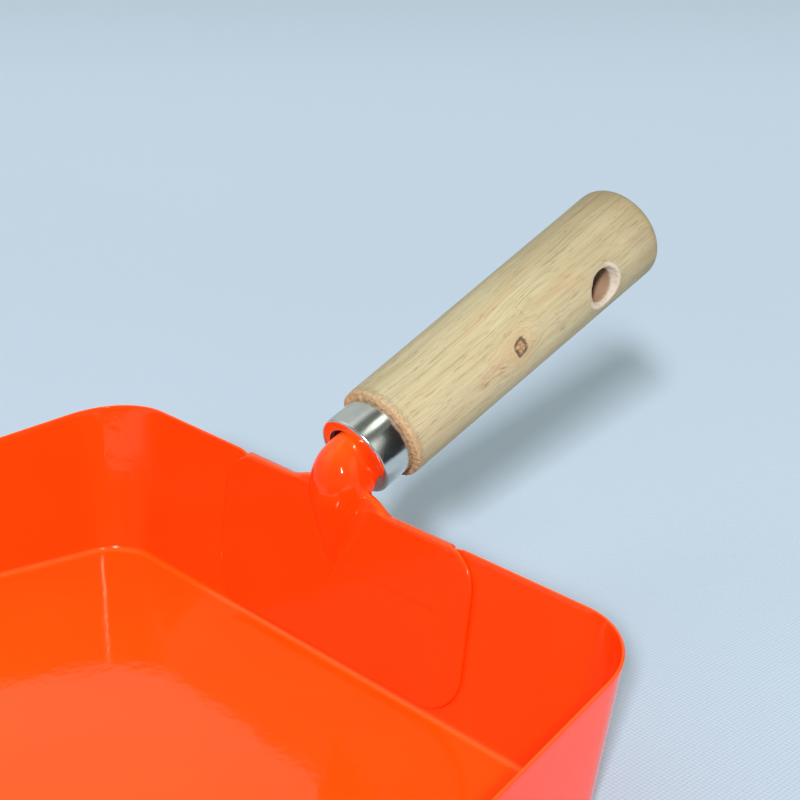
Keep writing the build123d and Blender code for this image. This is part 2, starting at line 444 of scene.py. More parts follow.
WOOD_LIGHT = (0.475, 0.428, 0.25, 1)
WOOD_DARK = (0.415, 0.362, 0.198, 1)
WOOD_GRAIN = (0.29, 0.228, 0.11, 1)
WOOD_PORE = (0.185, 0.13, 0.062, 1)
WOOD_FLUSH = (0.44, 0.30, 0.155, 1)
WOOD_BROWN = (0.17, 0.09, 0.038, 1)
WOOD_DEEP = (0.05, 0.028, 0.014, 1)
WOOD_HALO = (0.42, 0.27, 0.115, 1)
WOOD_TORN = (0.42, 0.235, 0.095, 1)
WOOD_CHIP = (0.66, 0.59, 0.47, 1)
# Painted shade colours: the wood inside the ferrule, and the far end of the grip.
WOOD_INSIDE_PAINTED_SHADE = (0.045, 0.014, 0.008, 1)
WOOD_END_PAINTED_SHADE = (0.09, 0.04, 0.0, 1)
HOLE_SHADE = (0.10, 0.035, 0.015, 1)
HOLE_LIT = (0.40, 0.26, 0.155, 1)

KNOT_ANGLE = radians(78)
KNOT_ALONG = FERRULE_LENGTH + 44.1
STREAK_ANGLE = radians(84)
STREAK_ALONG = FERRULE_LENGTH + 31.5


class WoodShader(Shader):
    """The handle's wood, measured along and around the handle's own axis."""

    def __init__(self, name):
        super().__init__(name)
        self.own = self.axis_vector()
        self.x, self.along, self.above = self.parts(self.own)
        self.angle = self.math("ARCTAN2", self.x, self.above)
        self.measure_knot()
        self.lay_grain()
        self.fine = self.grain_noise(2.4, 0.06, 3.0, 0.6)
        self.pores = self.grain_noise(3.4, 0.22, 1.0, 0.4)
        self.pore = self.remap(self.pores, 0.66, 0.74)
        self.ragged = self.noise(self.own, 1.3, 3.0, 0.7)

    def measure_knot(self):
        """Places round the knot's centre, and a wobbly squarish distance from it."""
        radius = self.math(
            "SQRT", self.plus(self.times(self.x, self.x), self.times(self.above, self.above))
        )
        self.knot_arc = self.times(self.minus(self.angle, KNOT_ANGLE), radius)
        self.knot_along = self.minus(self.along, KNOT_ALONG)
        self.knot_at = self.joined(self.knot_along, self.knot_arc, 0.0)
        skewed = self.math("ABSOLUTE", self.math("MULTIPLY_ADD", self.knot_along, 0.45, self.knot_arc))
        squared = self.larger(self.math("ABSOLUTE", self.knot_along), skewed)
        even = self.times(self.length(self.knot_at), 0.62)
        wobble = self.centred(self.noise(self.knot_at, 0.7, 2.0), 1.2)
        self.knot = self.plus(self.math("MULTIPLY_ADD", squared, 0.45, even), wobble)

    def lay_grain(self):
        """Grain coordinates, swept a little and bent round the knot."""
        push = self.times(self.remap(self.knot, 1.0, 11.0, 1.0, 0.0), 3.0)
        side = self.remap(self.knot_arc, -2.0, 2.0, -1.0, 1.0)
        sweep = self.times(self.noise(self.own, 0.03, 1.0), 3.0)
        self.grain_x = self.minus(self.x, sweep)
        self.grain_z = self.plus(self.above, self.times(push, side))

    def grain_noise(self, across, lengthways, detail, roughness):
        """Noise drawn out along the grain, from its scales across and along it."""
        vector = self.joined(
            self.times(self.grain_x, across),
            self.times(self.along, lengthways),
            self.times(self.grain_z, across),
        )
        return self.noise(vector, 1.0, detail, roughness)

    def grain(self):
        """Broad bands, fine grain, hair-thin dark lines, tan patches and open pores."""
        broad = self.grain_noise(0.35, 0.012, 3.0, 0.6)
        hair = self.apart(self.grain_noise(0.8, 0.008, 1.0, 0.5), 0.5)
        patches = self.grain_noise(0.5, 0.03, 3.0, 0.65)
        base = self.mix(self.remap(broad, 0.3, 0.7), WOOD_LIGHT, WOOD_DARK)
        base = self.mix(self.remap(self.fine, 0.42, 0.70, 0.0, 0.5), base, WOOD_GRAIN)
        base = self.mix(self.remap(hair, 0.0, 0.016, 0.55, 0.0), base, WOOD_PORE)
        base = self.mix(self.remap(patches, 0.52, 0.75, 0.0, 0.5), base, WOOD_FLUSH)
        return self.mix(self.times(self.pore, 0.6), base, WOOD_PORE)

    def streaks(self, base):
        """Brown streaks, and a warm flush, between the knot and the ferrule."""
        lengthways = self.remap(self.apart(self.along, STREAK_ALONG), 3.0, 8.0, 1.0, 0.0)
        around = self.remap(self.apart(self.angle, STREAK_ANGLE), 0.02, 0.16, 1.0, 0.0)
        streak = self.times(self.times(lengthways, around), self.remap(self.pores, 0.45, 0.62))
        base = self.mix(self.times(streak, 0.8), base, WOOD_BROWN)
        flush_along = self.times(self.plus(self.knot_along, 9.0), 0.34)
        flush_at = self.joined(flush_along, self.times(self.knot_arc, 0.9), 0.0)
        flush = self.remap(self.length(flush_at), 0.5, 5.0, 0.55, 0.0)
        return self.mix(self.times(flush, self.remap(self.fine, 0.25, 0.6)), base, WOOD_FLUSH)

    def knot_heart(self, base):
        """The knot: warm halo, broken dark rim and mottled heart."""
        base = self.mix(self.remap(self.knot, 2.0, 9.0, 0.45, 0.0), base, WOOD_HALO)
        rim = self.times(self.remap(self.knot, 1.3, 2.1), self.remap(self.knot, 2.3, 2.9, 1.0, 0.0))
        heart = self.remap(self.knot, 1.9, 2.3, 1.0, 0.0)
        rings = self.noise(
            self.joined(self.times(self.knot_along, 1.2), self.times(self.knot_arc, 0.8), 3.0),
            1.0, 3.0, 0.7,
        )
        base = self.mix(heart, base, self.mix(self.remap(rings, 0.4, 0.6), WOOD_BROWN, WOOD_HALO))
        broken = self.remap(self.noise(self.knot_at, 0.4, 2.0), 0.36, 0.48, 0.35, 0.9)
        return self.mix(self.times(rim, broken), base, WOOD_DEEP)

    def torn_shoulder(self, base):
        """Torn fibres round the shoulder: the colour, and where they are."""
        edge = self.remap(
            self.minus(self.along, self.times(self.ragged, 3.0)),
            FERRULE_LENGTH - 0.6, FERRULE_LENGTH + 1.2, 1.0, 0.0,
        )
        torn = self.mix(self.remap(self.ragged, 0.35, 0.7), WOOD_TORN, WOOD_LIGHT)
        return self.mix(self.times(edge, 0.85), base, torn), edge

    def hang_hole(self, base):
        """Chipped ring, and the hang hole's inside with painted light low and towards the far end and
        painted shade high and towards the ferrule: the colour, and where the ring is.
        """
        past = self.minus(self.along, HANG_HOLE_AT)
        far = self.math("SQRT", self.plus(self.times(past, past), self.times(self.above, self.above)))
        beside = self.math("ABSOLUTE", self.x)
        chewed = self.plus(far, self.centred(self.ragged, 1.2))
        ring = self.times(self.remap(chewed, 6.9, 7.6, 1.0, 0.0), self.remap(far, 4.9, 5.3))
        ring = self.times(ring, self.remap(beside, 6.0, 8.0))
        one_side = self.remap(self.minus(self.above, self.times(past, 0.7)), 1.0, 4.5, 1.0, 0.15)
        base = self.mix(self.times(ring, self.times(one_side, 0.85)), base, WOOD_CHIP)
        inside = self.times(self.remap(far, 5.0, 5.35, 1.0, 0.0), self.remap(beside, 13.2, 11.0))
        # Painted light and shade inside the hole: lit low and towards the far end, shaded high and
        # towards the ferrule.
        slant = self.minus(self.above, self.times(past, 0.6))
        slant = self.plus(slant, self.centred(self.ragged, 9.0))
        hole_light_and_shade = self.mix(self.remap(slant, -3.0, 0.6), HOLE_LIT, HOLE_SHADE)
        return self.mix(inside, base, hole_light_and_shade), ring

    def ferrule_and_end_shade(self, base):
        """Painted shade: very dark inside the ferrule, and darker towards the far end."""
        in_ferrule_shade = self.remap(self.along, FERRULE_LENGTH - 2.4, FERRULE_LENGTH - 1.4, 1.0, 0.0)
        base = self.mix(in_ferrule_shade, base, WOOD_INSIDE_PAINTED_SHADE)
        unshaded = self.remap(self.along, 50.0, WOOD_END - 18.0, 0.93, 0.73)
        unshaded = self.times(unshaded, self.remap(self.along, WOOD_END - 18.0, WOOD_END - 1.0, 1.0, 0.72))
        return self.mix(unshaded, WOOD_END_PAINTED_SHADE, base)


def pale_wood(name):
    """Pale close-grained hardwood, turned and sanded, bare of finish."""
    shade = WoodShader(name)
    base = shade.knot_heart(shade.streaks(shade.grain()))
    base, edge = shade.torn_shoulder(base)
    base, ring = shade.hang_hole(base)
    base = shade.ferrule_and_end_shade(base)
    height = shade.minus(shade.times(shade.fine, 0.5), shade.pore)
    normal = shade.bump(height, 0.06 * MM, 0.8)
    splinters = shade.times(shade.ragged, shade.plus(edge, ring))
    normal = shade.bump(splinters, 0.5 * MM, 0.8, normal)
    roughness = shade.remap(shade.fine, 0.3, 0.8, 0.5, 0.62)
    shade.set(Base_Color=base, Roughness=roughness, Normal=normal, IOR=1.45)
    return shade


orange = enamel("orange_enamel")
orange_bracket = enamel("orange_enamel_bracket", crack_and_shade=True)
steel = plated_steel("plated_steel")
wood = pale_wood("pale_wood")

# ---- pan body -----------------------------------------------------------------------------


FOLD_HALF_WIDTH = 41.0
RIM_DROP = 1.0
RIM_DROP_RUN = 4.0

CORNER_Y = BACK - CORNER_RADIUS
CORNER_X = HALF_BACK - CORNER_RADIUS * (1 - sin(SIDE_FLARE)) / cos(SIDE_FLARE)
SIDE_END_Y = CORNER_Y + CORNER_RADIUS * sin(SIDE_FLARE)
NOSE_Y = MOUTH + NOSE_RADIUS
NOSE_Z = RIM_Z - RIM_SLOPE * (RIM_Y - NOSE_Y)

NOSE_COLUMNS = 15
SIDE_COLUMNS = 34
CORNER_COLUMNS = 25
BACK_STEPS = 90
WALL_ROWS = 27
BEND_ROWS = 9
RIM_ROWS = 8


def sheet_section(height):
    """(outwards, up) of a wall's section, from the floor's top round to its underside."""
    bend_back = BEND_RADIUS * (1 - sin(WALL_LEAN)) / cos(WALL_LEAN)
    bend_top = BEND_RADIUS * (1 - sin(WALL_LEAN))
    edge = SHEET / 2
    points = []
    for angle in np.linspace(-pi / 2, -WALL_LEAN, BEND_ROWS):
        points.append((BEND_RADIUS * cos(angle) - bend_back, BEND_RADIUS * (1 + sin(angle))))
    top = height - edge + edge * sin(WALL_LEAN)
    for z in np.linspace(bend_top, top, WALL_ROWS)[1:]:
        points.append((z * tan(WALL_LEAN), z))
    middle = (top * tan(WALL_LEAN) + edge * cos(WALL_LEAN), top - edge * sin(WALL_LEAN))
    for angle in np.linspace(pi - WALL_LEAN, -WALL_LEAN, RIM_ROWS)[1:-1]:
        points.append((middle[0] + edge * cos(angle), middle[1] + edge * sin(angle)))
    for z in np.linspace(top, bend_top, WALL_ROWS):
        points.append((z * tan(WALL_LEAN) + SHEET * cos(WALL_LEAN), z - SHEET * sin(WALL_LEAN)))
    outer = BEND_RADIUS + SHEET
    for angle in np.linspace(-WALL_LEAN, -pi / 2, BEND_ROWS)[1:]:
        points.append((outer * cos(angle) - bend_back, BEND_RADIUS + outer * sin(angle)))
    return points


def rim_height(y, nose):
    """Height of the rim over the floor's top: sloping, and rounded down at the mouth."""
    if nose:
        return NOSE_Z - NOSE_RADIUS * (1 - cos(radians(nose))) - SHEET
    return RIM_Z - SHEET - RIM_SLOPE * max(0.0, RIM_Y - y)


def half_columns():
    """Columns of points round the right half: nose, side wall and back corner."""
    places = []
    for nose in np.linspace(90, 5, NOSE_COLUMNS):
        places.append((NOSE_Y - NOSE_RADIUS * sin(radians(nose)), None, nose))
    for y in np.linspace(NOSE_Y, SIDE_END_Y, SIDE_COLUMNS)[:-1]:
        places.append((y, None, 0.0))
    for angle in np.linspace(SIDE_FLARE, pi / 2, CORNER_COLUMNS):
        places.append((None, angle, 0.0))
    columns = []
    for y, angle, nose in places:
        if angle is None:
            foot_x = HALF_BACK + (BACK - y) * tan(SIDE_FLARE)
            angle = SIDE_FLARE
            shear = (y - MOUTH) / (SIDE_END_Y - MOUTH)
        else:
            foot_x = CORNER_X + CORNER_RADIUS * cos(angle)
            y = CORNER_Y + CORNER_RADIUS * sin(angle)
            shear = 1.0
        normal = (cos(angle), sin(angle))
        height = rim_height(y, nose)
        for _ in range(4):
            reach = height * tan(WALL_LEAN) * normal[1] * shear
            height = rim_height(y + reach, nose)
        column = []
        for out, up in sheet_section(height):
            slide = tan(SIDE_FLARE) * out * (1 - shear)
            column.append(
                (
                    foot_x + normal[0] * out + slide * sin(SIDE_FLARE),
                    y + normal[1] * out - slide * cos(SIDE_FLARE),
                    SHEET + up,
                )
            )
        columns.append(column)
    return columns, height


def back_wall(back_height, shares):
    """Columns along the back wall, its rim a little lower where the bracket is folded over."""
    columns = []
    for share in shares:
        x = CORNER_X * share
        beside = (FOLD_HALF_WIDTH + RIM_DROP_RUN - abs(x)) / RIM_DROP_RUN
        low = RIM_DROP * ramp(beside, 0.0, 1.0)
        columns.append([(x, BACK + out, SHEET + up) for out, up in sheet_section(back_height - low)])
    return columns


def pan_mesh():
    """Points and faces of the pan: sheet all round, with bends, rounded rim and floor."""
    half, back_height = half_columns()
    shares = np.linspace(1, -1, BACK_STEPS + 1)[1:-1]
    mirrored = [[(-x, y, z) for x, y, z in column] for column in reversed(half)]
    rows = half + back_wall(back_height, shares) + mirrored
    tall = len(rows[0])
    last = len(rows) - 1
    points = [point for column in rows for point in column]
    faces = []
    for c in range(last):
        for i in range(tall - 1):
            a, b = c * tall + i, (c + 1) * tall + i
            faces.append((a, b, b + 1, a + 1))
    # Floor, as rows across from each column of the right half to its mirror image.
    fronts = []
    for side_index in (0, tall - 1):
        net = []
        for k in range(len(half) - 1):
            right = rows[k][side_index]
            row = [k * tall + side_index]
            for share in shares:
                row.append(len(points))
                points.append((right[0] * share, right[1], right[2]))
            row.append((last - k) * tall + side_index)
            net.append(row)
        net.append([c * tall + side_index for c in range(len(half) - 1, last - len(half) + 2)])
        for near, far in zip(net, net[1:]):
            for j in range(BACK_STEPS):
                faces.append((near[j], near[j + 1], far[j + 1], far[j]))
        fronts.append(net[0])
    # The sheet's front edge at the mouth, along the floor and up both noses.
    upper, under = fronts
    for j in range(BACK_STEPS):
        faces.append((upper[j], upper[j + 1], under[j + 1], under[j]))
    for base in (0, last * tall):
        for i in range(tall // 2):
            j = tall - 1 - i
            if i + 1 < j - 1:
                faces.append((base + i, base + i + 1, base + j - 1, base + j))
            elif i + 1 == j - 1:
                faces.append((base + i, base + i + 1, base + j))
    return points, faces


points, faces = pan_mesh()
pan = make_object("pan_sheet", points, faces, orange.material)
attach(pan, "root")
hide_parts("pan_body")

# ---- handle bracket -----------------------------------------------------------------------


PLATE = 1.2
PLATE_HALF_WIDTH = 49.6
PLATE_MIDDLE = 0.8
PLATE_BOTTOM = 2.4
PLATE_TOP = WALL_LENGTH + 0.05
PLATE_CORNER = 13.0
PLATE_UPPER_RIGHT_CORNER = 10.0
PLATE_GAP = 0.12
PLATE_EDGE_ROUNDING = 0.5

# The fold over the rim: an arch of sheet, up from inside the plate and down outside the wall.
FOLD_TOP = WALL_LENGTH - 0.5
FOLD_START = 30.0
FOLD_MIDDLE = -0.36
FOLD_HALF_FLAT = 0.24
FOLD_BEND = 0.85
FOLD_HALF_SHEET = 0.5
FOLD_RETURN = 5.0
FOLD_RISE = 3.1
RISE_LEFT = (9.5, 23.0)
RISE_RIGHT = (10.0, 18.5)

# The cone up the plate: where its tip is, and how its radius grows.
CONE_TIP = 25.65
CONE_TIP_RADIUS = 0.2
CONE_GROWTH = 0.387
CONE_AXIS_INTO = 1.0
CONE_BLEND = 1.0

# The tang is deeper than a half circle where it meets the ferrule.
TANG_DEEPER = 4.2
TANG_DEEPENS_OVER = 9.0
# Where its side walls end: distance from the ferrule's front, height over its axis.
TANG_LEGS = ((-40, -19.8), (-4.2, -6.2), (0, -4.6), (12, -2.0), (90, -2.0))
TANG_EDGE_ROUNDING = 0.6

# Fillet between plate and cone at these heights, on the left and on the right.
FILLET_UP = (24, 34, 44, 48)
FILLET_LEFT = (0.3, 1.0, 2.5, 3.0)
FILLET_RIGHT = (0.3, 2.0, 4.5, 3.5)
FILLET_OUTSIDE = 1.0


def wall_frame(x, up, into):
    """Places from the wall's foot: sideways, up the wall and into the tray."""
    return WALL_FOOT + np.multiply.outer(x, (1, 0, 0)) + np.multiply.outer(up, UP_WALL) \
        + np.multiply.outer(into, INTO_TRAY)


# The tang's bend: place in Y and Z from the wall's foot, climb in degrees, radius.
BEND_SECTIONS = (
    (5.7, 47.0, 80.0, 8.6),
    (6.6, 50.5, 62.0, 9.0),
    (8.2, 54.5, 40.0, 8.7),
    (*AXIS_FROM_FOOT, AXIS_CLIMB, 8.0),
)
LOWER_RUN = 40.0
LOWER_CLIMB = radians(77.0)
LOWER_LEAN = 8.0
RINGS_PER_SPAN = 12
TANG_TAPER = 3.0 / TANG_LENGTH


def hermite(a, b, slope_a, slope_b, t):
    """Point at t from 0 to 1 of the cubic between a and b with these slopes."""
    return (
        (2 * t**3 - 3 * t**2 + 1) * a
        + (t**3 - 2 * t**2 + t) * slope_a
        + (3 * t**2 - 2 * t**3) * b
        + (t**3 - t**2) * slope_b
    )


def bend_rings():
    """Rings along the tang (y, z, climb in radians, radius), from far below the bend."""
    knots = np.array(BEND_SECTIONS)
    spans = np.hypot(*np.diff(knots[:, :2], axis=0).T)
    slopes = np.zeros_like(knots)
    slopes[0] = (cos(LOWER_CLIMB), sin(LOWER_CLIMB), -2.5, 0.0)
    slopes[-1] = (cos(AXIS_TILT), sin(AXIS_TILT), 0.0, -TANG_TAPER)
    for i in range(1, len(knots) - 1):
        before = (knots[i] - knots[i - 1]) / spans[i - 1]
        after = (knots[i + 1] - knots[i]) / spans[i]
        slopes[i] = (before * spans[i] + after * spans[i - 1]) / (spans[i] + spans[i - 1])
    start = knots[0].copy()
    start[:2] -= LOWER_RUN * slopes[0, :2]
    start[2] += LOWER_LEAN
    rings = [start]
    for i, span in enumerate(spans):
        for t in np.linspace(0, 1, RINGS_PER_SPAN + 1)[:-1]:
            ends = knots[i], knots[i + 1]
            rings.append(hermite(*ends, span * slopes[i], span * slopes[i + 1], t))
    rings.append(knots[-1])
    rings.append(knots[-1] + 2 * TANG_LENGTH * slopes[-1])
    rings = np.array(rings)
    rings[:, 2] = np.radians(rings[:, 2])
    return rings


RINGS = bend_rings()
FAR_BELOW = -30.0


def beside_path(y, z):
    """Height over the middle of the tang's ring at this point, and that ring's radius."""
    height = np.full(np.broadcast(y, z).shape, FAR_BELOW)
    radius = np.full(height.shape, RINGS[0, 3])
    past_before = None
    for centre_y, centre_z, climb, ring_radius in RINGS:
        past = (y - centre_y) * cos(climb) + (z - centre_z) * sin(climb)
        over = (z - centre_z) * cos(climb) - (y - centre_y) * sin(climb)
        if past_before is not None:
            between = (past_before >= 0) & (past < 0)
            share = past_before / np.where(between, past_before - past, 1.0)
            height = np.where(between, over_before + (over - over_before) * share, height)
            radius = np.where(
                between, radius_before + (ring_radius - radius_before) * share, radius
            )
        past_before, over_before, radius_before = past, over, ring_radius
    return height, radius


def from_foot(up, into):
    """Y and Z from the wall's foot of a place given up the wall and into the tray."""
    return up * UP_WALL[1] + into * INTO_TRAY[1], up * UP_WALL[2] + into * INTO_TRAY[2]


def past_bend(up, into):
    """Distance along the tang from the ferrule's front, and height over its axis."""
    y, z = from_foot(up, into)
    y = y - AXIS_FROM_FOOT[0]
    z = z - AXIS_FROM_FOOT[1]
    return (
        y * cos(AXIS_TILT) + z * sin(AXIS_TILT),
        z * cos(AXIS_TILT) - y * sin(AXIS_TILT),
    )


def horn_field(x, up, into):
    """The cone pressed up the plate, cut by the tang's bend above the rim."""
    y, z = from_foot(up, into)
    distance, _ = past_bend(up, into)
    side = np.abs(x)
    cone_radius = CONE_TIP_RADIUS + (up - CONE_TIP) * CONE_GROWTH
    cone = np.hypot(side, np.maximum(into - CONE_AXIS_INTO, 0)) - cone_radius
    cone = cone * cos(atan2(CONE_GROWTH, 1))
    height, radius = beside_path(y, z)
    lower = TANG_DEEPER * ramp(distance, -TANG_DEEPENS_OVER, 0.0)
    stretch = radius / (radius + lower)
    bend = np.hypot(side, np.maximum(height + lower, 0) * stretch) - radius
    return smooth_max(cone, bend, CONE_BLEND)


def leg_field(up, into):
    """Positive under the line where the tang's side walls end."""
    distance, height = past_bend(up, into)
    line = np.interp(distance, *zip(*TANG_LEGS))
    # The line slopes, so the distance to it is a little less than the height under it.
    return (line - height) * 0.9


def plate_field(x, up, into):
    """The plate inside the back wall, with rounded corners."""
    middle = (PLATE_TOP + PLATE_BOTTOM) / 2
    half_height = (PLATE_TOP - PLATE_BOTTOM) / 2
    corner = np.where((x > 0) & (up > middle), PLATE_UPPER_RIGHT_CORNER, PLATE_CORNER)
    across = np.abs(x - PLATE_MIDDLE) - (PLATE_HALF_WIDTH - corner)
    tall = np.abs(up - middle) - (half_height - corner)
    outline = rounded_corner(across, tall, corner)
    through = np.abs(into - PLATE / 2 - PLATE_GAP) - PLATE / 2
    return rounded_box(outline, through, PLATE_EDGE_ROUNDING)


def fold_field(x, up, into):
    """The fold over the rim with its short return, rising towards the tang."""
    side = np.abs(x)
    right = 1 - ramp(side, *RISE_RIGHT)
    left = 1 - ramp(side, *RISE_LEFT)
    lifted = up - FOLD_RISE * np.where(x > 0, right, left)
    flat = np.abs(into - FOLD_MIDDLE) - FOLD_HALF_FLAT
    arch = rounded_corner(flat, lifted - (FOLD_TOP - FOLD_BEND), FOLD_BEND)
    strip = np.abs(arch) - FOLD_HALF_SHEET
    strip = np.maximum(strip, FOLD_START - up)
    strip = np.maximum(strip, np.minimum(WALL_LENGTH - FOLD_RETURN - lifted, -0.4 - into))
    return rounded_box(side - FOLD_HALF_WIDTH, strip, 0.3)


def bracket_field(x, up, into):
    """Distance to the whole bracket: plate, fold, cone and channel-shaped tang."""
    folded = smooth_min(plate_field(x, up, into), fold_field(x, up, into), 0.8)
    horn = horn_field(x, up, into)
    keep = np.minimum(-into, leg_field(up, into))
    shell = smooth_max(horn, keep, TANG_EDGE_ROUNDING)
    left_reach = np.interp(up, FILLET_UP, FILLET_LEFT)
    right_reach = np.interp(up, FILLET_UP, FILLET_RIGHT)
    reach = left_reach + (right_reach - left_reach) * ramp(x, -4.0, 4.0)
    reach = np.minimum(reach, FILLET_OUTSIDE + 3.0 * ramp(into, -2.0, 1.0))
    body = smooth_min(folded, shell, reach)
    body = smooth_max(body, -(horn + PLATE), 0.5)
    distance, _ = past_bend(up, into)
    return np.maximum(body, distance - TANG_LENGTH)


# Finer grid lines where the shape is small: the plate's edges, the fold, the cone and the tang.
across = steps((-51, -48, 0.35), (-48, -24, 0.7), (-24, 24, 0.33), (24, 48, 0.7), (48, 51, 0.35))
upward = steps((0.5, 5, 0.35), (5, 22, 0.6), (22, 72, 0.33), (72, 95, 1.0))
inward = steps((-62, -16, 1.2), (-16, 13, 0.33))
points, faces = surface_mesh(bracket_field, across, upward, inward)
bracket = make_object(
    "bracket_and_tang", wall_frame(*points.T), faces, orange_bracket.material
)
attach(bracket, "root")
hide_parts("handle_bracket")

# ---- ferrule ------------------------------------------------------------------------------


def axis_frame(x, above, along):
    """Places from the ferrule's front: sideways, above the axis and along it."""
    return FERRULE_FRONT + np.multiply.outer(x, (1, 0, 0)) + np.multiply.outer(above, ABOVE) \
        + np.multiply.outer(along, ALONG)


def arc_points(middle, radius, start, end, count):
    """(along, radius) points on an arc, its angles in degrees from the along direction."""
    return [
        (middle[0] + radius * cos(radians(a)), middle[1] + radius * sin(radians(a)))
        for a in np.linspace(start, end, count)
    ]


def lathe(profile, count):
    """Closed ring of a closed profile of (along, radius) points."""
    points, faces = [], []
    tall = len(profile)
    for k in range(count):
        angle = 2 * pi * k / count
        for along, radius in profile:
            points.append((radius * sin(angle), radius * cos(angle), along))
        for i in range(tall):
            a, b = k * tall + i, k * tall + (i + 1) % tall
            c, d = ((k + 1) % count) * tall + i, ((k + 1) % count) * tall + (i + 1) % tall
            faces.append((a, b, d, c))
    return np.array(points), faces


OUTER_LIP = 0.22
HOLE_LIP = 0.24
HOLE_BACK_LIP = 0.2


def ferrule_profile():
    """Closed outline of the cup: rim, outside, front face, hole, inside and back to the rim."""
    bend = (FERRULE_EDGE_RADIUS, FERRULE_RADIUS - FERRULE_EDGE_RADIUS)
    return (
        arc_points((FERRULE_LENGTH - OUTER_LIP, FERRULE_RADIUS - OUTER_LIP), OUTER_LIP, 0, 90, 5)
        + [(5.0, FERRULE_RADIUS)]
        + arc_points(bend, FERRULE_EDGE_RADIUS, 90, 180, 10)
        + [(0.0, 10.0)]
        + arc_points((HOLE_LIP, FERRULE_HOLE_RADIUS + HOLE_LIP), HOLE_LIP, 180, 270, 5)
        + arc_points(
            (FERRULE_WALL - HOLE_BACK_LIP, FERRULE_HOLE_RADIUS + HOLE_BACK_LIP),
            HOLE_BACK_LIP, 270, 360, 4,
        )
        + arc_points(bend, FERRULE_EDGE_RADIUS - FERRULE_WALL, 180, 90, 6)
        + [(FERRULE_LENGTH, FERRULE_RADIUS - FERRULE_WALL)]
    )


points, faces = lathe(ferrule_profile(), 180)
ferrule = make_object("ferrule_cup", axis_frame(*points.T), faces, steel.material)
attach(ferrule, "root")
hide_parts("ferrule")

# ---- wooden handle ------------------------------------------------------------------------


SHOULDER_ROUNDING = 0.6
TENON_RADIUS = FERRULE_RADIUS - 0.55
TENON_START = 0.6
BORE_RADII = (8.2, 5.1)
SINK_RADIUS = 6.5
SINK_UNEVEN = 1.1
SINK_SLOPE = radians(30)


def turned_field(x, above, along):
    """The turned grip, rounded at its end and torn at its shoulder, with its tenon and bore."""
    across = np.hypot(x, above)
    share = (along - FERRULE_LENGTH) / (WOOD_END - FERRULE_LENGTH)
    turned = WOOD_FRONT_RADIUS + (WOOD_END_RADIUS - WOOD_FRONT_RADIUS) * share
    tail = rounded_corner(
        across - (turned - WOOD_END_ROUNDING), along - (WOOD_END - WOOD_END_ROUNDING),
        WOOD_END_ROUNDING,
    )
    chips = value_noise((x, above, along * 0.5), 0.7, 3) * 0.22
    chips = chips + value_noise((x, above, along * 0.4), 1.9, 4) * 0.2
    chips = chips * np.clip((FERRULE_LENGTH + 2.6 - along) / 2.0, 0, 1)
    front = rounded_box(across - turned, FERRULE_LENGTH - along, SHOULDER_ROUNDING) + chips
    tenon = np.maximum(across - TENON_RADIUS, TENON_START - along)
    tenon = np.maximum(tenon, along - FERRULE_LENGTH - 3)
    body = np.minimum(np.maximum(tail, front), tenon)
    bore = np.interp(along, (0, TANG_LENGTH), BORE_RADII)
    return np.maximum(body, np.minimum(bore - across, TANG_LENGTH + 1.0 - along))


def wood_field(x, above, along):
    """The grip with its hang hole, countersunk and chipped at both sides."""
    centre = np.hypot(along - HANG_HOLE_AT, above)
    torn = value_noise((x, above, along), 0.8, 5) * 0.16
    lean = (0.8 * above - 0.6 * (along - HANG_HOLE_AT)) / np.maximum(centre, 1.0)
    sink = SINK_RADIUS - SINK_UNEVEN * np.clip(lean, 0, 1)
    sink = sink - (WOOD_END_RADIUS - 0.3 - np.abs(x)) * tan(SINK_SLOPE) + torn
    cut = smooth_min(centre - HANG_HOLE_RADIUS, (centre - sink) * cos(SINK_SLOPE), 0.3)
    return smooth_max(turned_field(x, above, along), -cut, 0.35)


grid = np.arange(-15.6, 15.61, 0.4)
lengthways = steps((0.0, 14.0, 0.33), (14.0, 80.0, 0.6), (80.0, WOOD_END + 1, 0.4))
points, faces = surface_mesh(wood_field, grid, grid, lengthways)
handle = make_object("handle_grip", axis_frame(*points.T), faces, wood.material)
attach(handle, "root")
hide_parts("wooden_handle")

# ---- stage, light and camera --------------------------------------------------------------


CLOTH_LIGHT = (0.50, 0.615, 0.71, 1)
CLOTH_DARK = (0.47, 0.58, 0.67, 1)
CLOTH_FAR_PAINTED_LIGHT = (0.56, 0.69, 0.80, 1)
CLOTH_GAP = (0.30, 0.38, 0.43, 1)
THREADS = 5.2
FLOOR_HALF_WIDTH = 5.0


def cloth(name):
    """Pale blue-grey backdrop cloth with a faint weave, and painted light making it a little paler far
    away.
    """
    shade = Shader(name)
    place = shade.frame_vector()
    x, y, _ = shade.parts(place)
    sideways = shade.math("SINE", shade.times(x, THREADS))
    lengthways = shade.math("SINE", shade.times(y, THREADS))
    thread = shade.times(shade.plus(sideways, lengthways), 0.5)
    weave = shade.times(thread, shade.noise(place, 0.4, 3.0))
    colour = shade.mix(shade.noise(place, 0.004, 2.0), CLOTH_DARK, CLOTH_LIGHT)
    # Painted light: the cloth is painted paler far away, where the lamps light it less.
    away = shade.minus(shade.times(y, 0.64), shade.times(x, 0.68))
    colour = shade.mix(shade.remap(away, 200.0, 1100.0), colour, CLOTH_FAR_PAINTED_LIGHT)
    colour = shade.mix(shade.remap(weave, -0.6, 0.6, 0.0, 0.24), colour, CLOTH_GAP)
    normal = shade.bump(weave, 0.2 * MM, 0.3)
    shade.set(Base_Color=colour, Roughness=0.85, Normal=normal)
    return shade


def flat_sheet(name, corners, material):
    """A four-cornered stage object."""
    mesh = bpy.data.meshes.new(name)
    mesh.from_pydata(corners, [], [(0, 1, 2, 3)])
    mesh.materials.append(material)
    sheet = bpy.data.objects.new(name, mesh)
    scene.collection.objects.link(sheet)
    return sheet


SQUARE = ((-1, -1), (1, -1), (1, 1), (-1, 1))

